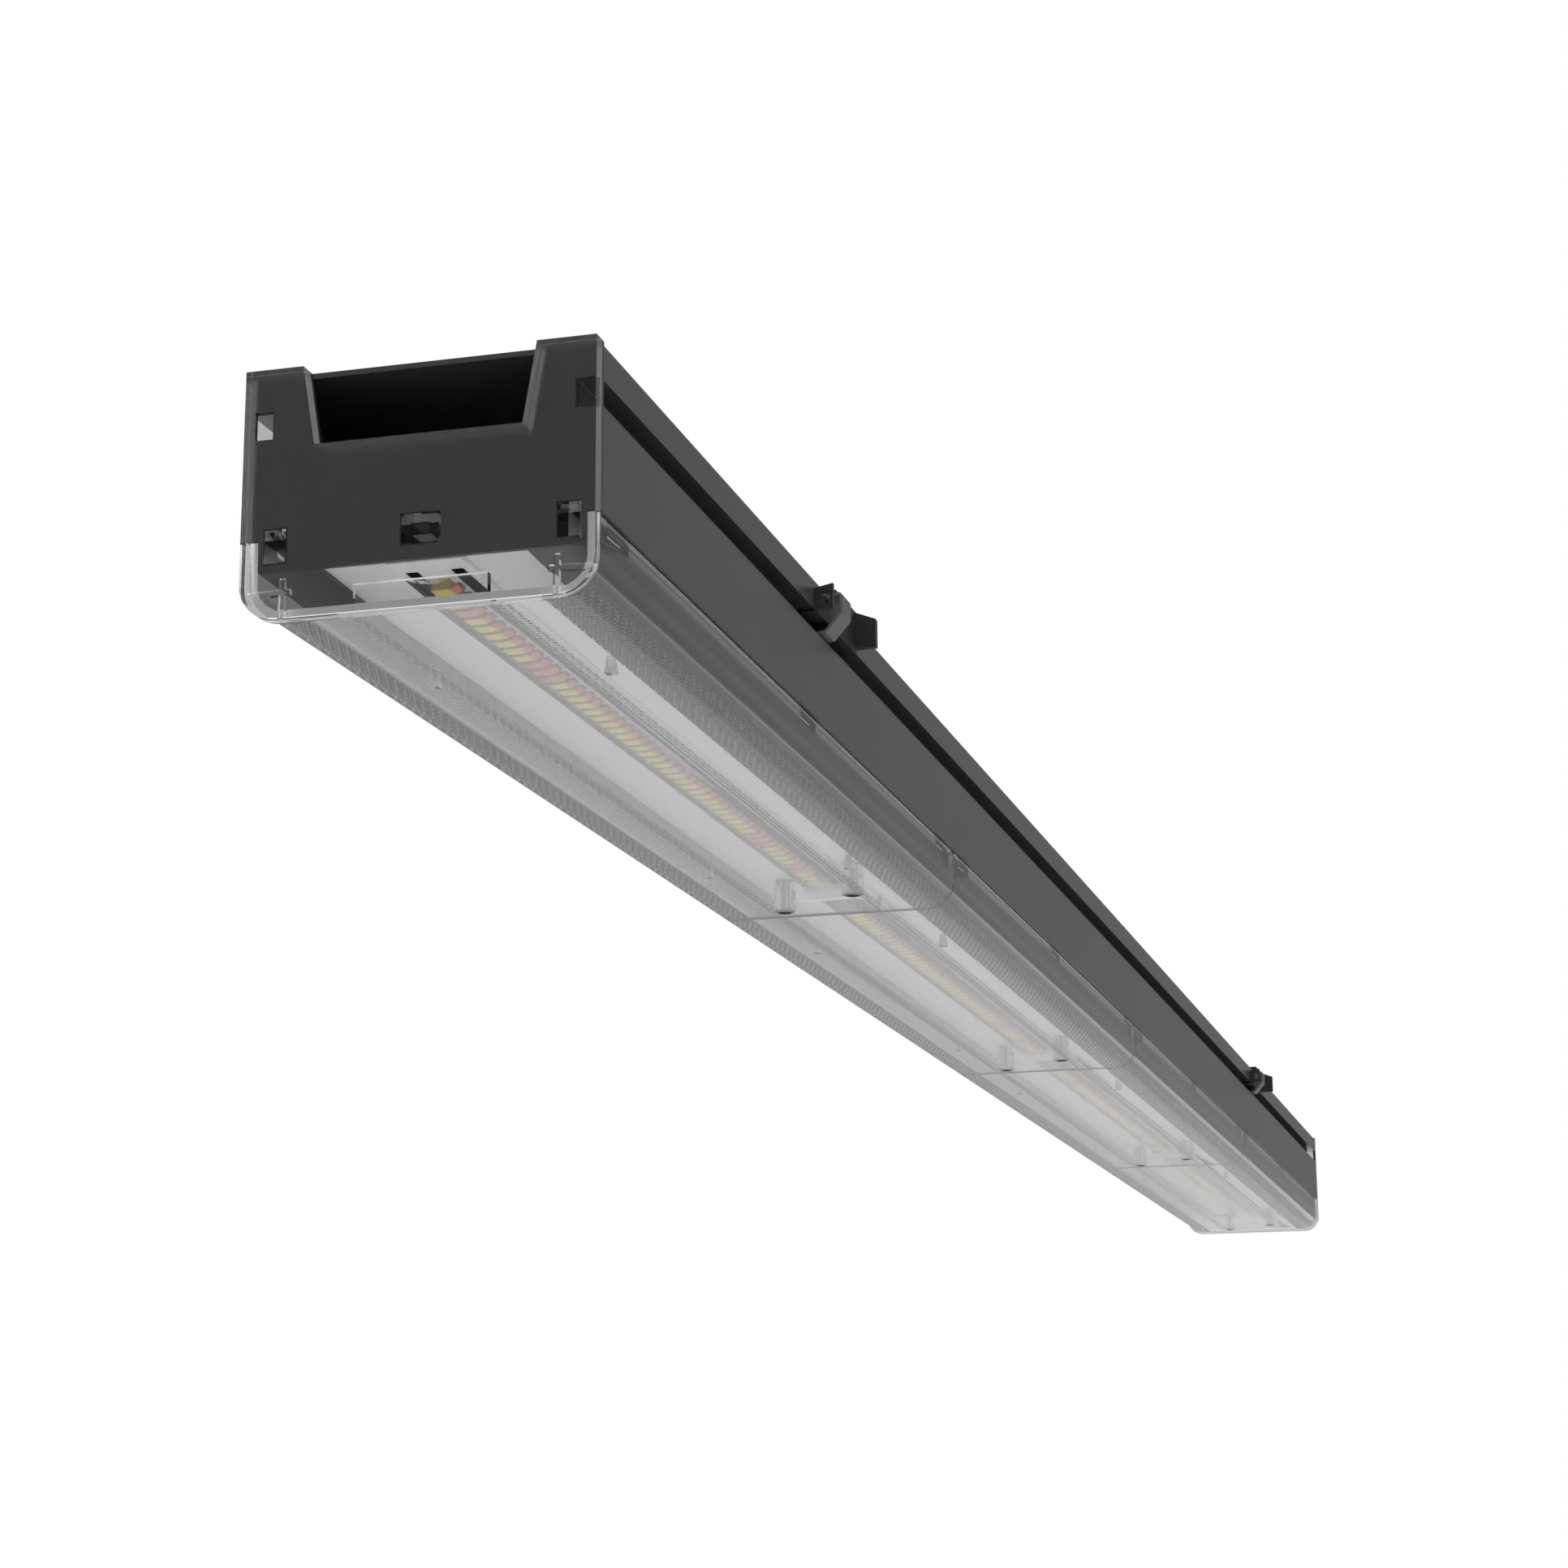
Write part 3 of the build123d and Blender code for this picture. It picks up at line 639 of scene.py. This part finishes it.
class FITTING_OT_lights(bpy.types.Operator):
    """Finish the LED boards, links and optic screws, and model the LEDs"""

    bl_idname = "fitting.lights"
    bl_label = "LED Boards and Screws"

    def execute(self, context):
        leds = context.scene.fitting_leds
        mask = coated(
            "White solder mask", (0.92, 0.92, 0.92),
            roughness=0.35, grain=0.3 * MM, depth=0.01 * MM, shade=0.02,
        )
        yellow = phosphor("Warm phosphor", tuple(leds.yellow), tuple(leds.pink), tuple(leds.body))
        pink = phosphor("Red phosphor", tuple(leds.pink), tuple(leds.pink), tuple(leds.body))
        link = coated(
            "White connector", (0.78, 0.78, 0.77),
            roughness=0.4, grain=0.4 * MM, depth=0.01 * MM, shade=0.03,
        )
        screw = coated(
            "Blackened screw", (0.01, 0.01, 0.01),
            roughness=0.7, grain=0.2 * MM, depth=0.01 * MM, **{"Specular IOR Level": 0.1},
        )
        dress([f"led_board_{number}" for number in MODULES], mask)
        for number in MODULES:
            centre = (number - MIDDLE_MODULE) * MODULE_PITCH
            for kind, material, slot in (("warm", yellow, "led_yellow"), ("red", pink, "led_pink")):
                positions = [i for i in range(LED_COUNT) if (i in RED_LEDS) == (kind == "red")]
                places = [centre + (i - MIDDLE_LED) * LED_PITCH for i in positions]
                row = self.add_row(f"led_row_{kind}_{number}", places)
                finish_piece(row, material, f"leds_{kind}_{number}")
        dress(["board_links"], link)
        dress(["lens_screws"], screw)
        return {"FINISHED"}

    def add_row(self, name, places):
        """A row of LED packages at those places along the board, each with a sloped right shoulder."""
        row = add_piece(name, bpy.data.meshes.new(name))
        middle_z = (LED_FACE_Z + LED_BOARD_Z) / 2
        package = (LED_WIDTH, LED_LENGTH, LED_BOARD_Z - LED_FACE_Z)
        margin = 0.1 * MM
        bpy.ops.object.mode_set(mode="EDIT")
        for place in places:
            bpy.ops.mesh.primitive_cube_add(size=1.0, location=(0, place, middle_z), scale=package)
        bpy.ops.mesh.select_all(action="SELECT")
        bpy.ops.mesh.bisect(plane_co=(LED_CROWN, 0, 0), plane_no=(1, 0, 0))
        bpy.ops.object.mode_set(mode="OBJECT")
        for vertex in row.data.vertices:
            if vertex.co.x > LED_CROWN + margin and vertex.co.z < LED_FACE_Z + margin:
                vertex.co.z += LED_SLOPE
        bpy.ops.object.mode_set(mode="EDIT")
        bpy.ops.mesh.select_all(action="SELECT")
        bpy.ops.mesh.bevel(offset=LED_BEVEL, segments=1, affect="EDGES")
        bpy.ops.object.mode_set(mode="OBJECT")
        bpy.ops.object.shade_smooth_by_angle(angle=LED_SMOOTH_ANGLE)
        return row


class FITTING_OT_gear(bpy.types.Operator):
    """Finish the driver, terminal block, screws and leads"""

    bl_idname = "fitting.gear"
    bl_label = "Driver, Terminals and Leads"

    def execute(self, context):
        shell = coated("Driver shell", (0.75, 0.75, 0.74), roughness=0.45, grain=0.4 * MM, depth=0.015 * MM)
        nylon = coated("Natural nylon", (0.70, 0.70, 0.68), roughness=0.5, grain=0.4 * MM, depth=0.01 * MM)
        zinc = coated(
            "Zinc plate", (0.6, 0.6, 0.6),
            roughness=0.3, grain=0.3 * MM, depth=0.005 * MM, Metallic=1.0,
        )
        dress(["led_driver"], shell)
        dress(["terminal_block"], nylon)
        dress(["driver_screws", "terminal_screws", "earth_screw"], zinc)
        for node, name, colour in (
            ("mains_leads", "Brown insulation", (0.16, 0.07, 0.03)),
            ("earth_lead", "Green insulation", (0.20, 0.45, 0.08)),
            ("led_leads", "Black insulation", (0.03, 0.03, 0.03)),
        ):
            dress([node], coated(name, colour, roughness=0.4, grain=0.4 * MM, depth=0.005 * MM))
        return {"FINISHED"}


class FITTING_OT_clips(bpy.types.Operator):
    """Finish the ceiling clips and model their spring leaves"""

    bl_idname = "fitting.clips"
    bl_label = "Ceiling Clips"

    def execute(self, context):
        settings = context.scene.fitting_clips
        black = coated("Black coat", (0.012, 0.012, 0.012), roughness=0.45, grain=0.4 * MM, depth=0.015 * MM)
        grey = coated("Spring steel coat", (0.07, 0.07, 0.07), roughness=0.5, grain=0.4 * MM, depth=0.01 * MM)
        dress([f"ceiling_clip_{end}" for end in ENDS], black)
        for end in ENDS:
            node = f"clip_leaves_{end}"
            far_edge = max(vertex.co.y for vertex in cad[node].data.vertices)

            def narrow(x, y, z):
                """Keeps the far edge of each leaf and brings its near edge in."""
                return x, far_edge - (far_edge - y) * settings.leaf_share, z

            finish_piece(merged_copy(node, f"spring_leaves_{end}", narrow), grey, node)
        return {"FINISHED"}


class FITTING_OT_stage(bpy.types.Operator):
    """Add the floor, the white surround, the soft lamps and the camera"""

    bl_idname = "fitting.stage"
    bl_label = "Floor, Light and Camera"

    def execute(self, context):
        settings = context.scene.fitting_stage
        self.add_floor(settings)
        self.add_surround(context, settings)
        self.add_lamp(context, "Key lamp", KEY_PLACE, settings.key_power)
        self.add_lamp(context, "Fill lamp", FILL_PLACE, settings.fill_power)
        self.add_camera(context)
        context.scene.view_settings.view_transform = "Standard"
        return {"FINISHED"}

    def add_floor(self, settings):
        bpy.ops.object.select_all(action="DESELECT")
        bpy.ops.mesh.primitive_plane_add(size=FLOOR_SIZE, location=(0, 0, -settings.floor_drop))
        floor = bpy.context.object
        floor.name = "floor"
        floor.data.materials.append(self.floor_material())

    def floor_material(self):
        """Pale matt floor that fades into the white surround away from the fitting."""
        material, finish = new_material("Pale floor")
        x, y, _ = finish.axes()
        pale = finish.mix(finish.noise(grain=2 * MM), (0.78, 0.78, 0.78), (0.80, 0.80, 0.80))
        seen, mirrored = finish.ray_kinds()
        far = (x * x + y * y).root().ramp(*FLOOR_FADE)
        strength = FLOOR_MIRRORED + seen * (1 - FLOOR_MIRRORED)
        glow = finish.node("ShaderNodeEmission", None, {"Strength": strength})
        matt = finish.node("ShaderNodeBsdfPrincipled", None, {"Base Color": pale, "Roughness": 0.6})
        fade = far * seen.larger(mirrored)
        shader = finish.node("ShaderNodeMixShader", None, [fade, matt, glow])
        finish.output("ShaderNodeOutputMaterial", shader)
        return material

    def add_surround(self, context, settings):
        """White to the camera and through clear plastic, and dimmer to matt and glossy surfaces."""
        world = bpy.data.worlds.new("White surround")
        world.use_nodes = True
        context.scene.world = world
        finish = Finish(world.node_tree)
        seen, mirrored = finish.ray_kinds()
        _, depth, height = finish.axes("Generated")
        studio = MIRRORED_BELOW - height.ramp(*HORIZON) * (MIRRORED_DROP - depth * MIRRORED_DEPTH)
        strength = settings.ambient + seen * (1 - settings.ambient) + mirrored * (studio - settings.ambient)
        shader = finish.node("ShaderNodeBackground", None, {"Color": (1, 1, 1, 1), "Strength": strength})
        finish.output("ShaderNodeOutputWorld", shader)

    def add_lamp(self, context, name, place, power):
        """A large square lamp that points at the fitting and isn't mirrored in it."""
        light = bpy.data.lights.new(name, "AREA")
        light.size = LAMP_SIZE
        light.energy = power
        lamp = bpy.data.objects.new(name, light)
        lamp.location = place
        lamp.rotation_euler = (-Vector(place)).to_track_quat("-Z", "Y").to_euler()
        lamp.visible_glossy = False
        context.scene.collection.objects.link(lamp)

    def add_camera(self, context):
        camera = bpy.data.objects.new("Camera", bpy.data.cameras.new("Camera"))
        right = Vector(CAMERA_RIGHT)
        back = -Vector(CAMERA_FORWARD)
        up = back.cross(right)
        turn = Matrix((right, up, back)).transposed().to_4x4()
        camera.matrix_world = Matrix.Translation(CAMERA_PLACE) @ turn
        camera.data.lens = CAMERA_LENS
        camera.data.sensor_width = CAMERA_SENSOR
        camera.data.clip_start = CAMERA_NEAREST
        context.scene.collection.objects.link(camera)
        context.scene.camera = camera


class FITTING_PT_sidebar(bpy.types.Panel):
    """Lists the pieces and the stage"""

    bl_label = "Linear LED Fitting"
    bl_idname = "FITTING_PT_sidebar"
    bl_space_type = "VIEW_3D"
    bl_region_type = "UI"
    bl_category = "Fitting"

    def draw(self, context):
        layout = self.layout
        for operator in OPERATORS:
            layout.operator(operator.bl_idname)
        for name in SETTINGS:
            box = layout.box()
            group = getattr(context.scene, name)
            for key in group.__annotations__:
                box.prop(group, key)


OPERATORS = (
    FITTING_OT_stage,
    FITTING_OT_channel,
    FITTING_OT_optics,
    FITTING_OT_end_caps,
    FITTING_OT_lights,
    FITTING_OT_gear,
    FITTING_OT_clips,
)
SETTINGS = {
    "fitting_stage": StageSettings,
    "fitting_paint": PaintSettings,
    "fitting_optics": OpticSettings,
    "fitting_leds": LedSettings,
    "fitting_clips": ClipSettings,
}


def register():
    for group in SETTINGS.values():
        bpy.utils.register_class(group)
    for operator in OPERATORS:
        bpy.utils.register_class(operator)
    bpy.utils.register_class(FITTING_PT_sidebar)
    for name, group in SETTINGS.items():
        setattr(bpy.types.Scene, name, bpy.props.PointerProperty(type=group))


def unregister():
    for name in SETTINGS:
        delattr(bpy.types.Scene, name)
    bpy.utils.unregister_class(FITTING_PT_sidebar)
    for operator in reversed(OPERATORS):
        bpy.utils.unregister_class(operator)
    for group in SETTINGS.values():
        bpy.utils.unregister_class(group)


def main():
    register()
    bpy.ops.fitting.stage()
    bpy.ops.fitting.channel()
    bpy.ops.fitting.optics()
    bpy.ops.fitting.end_caps()
    bpy.ops.fitting.lights()
    bpy.ops.fitting.gear()
    bpy.ops.fitting.clips()


if __name__ == "__main__":
    main()
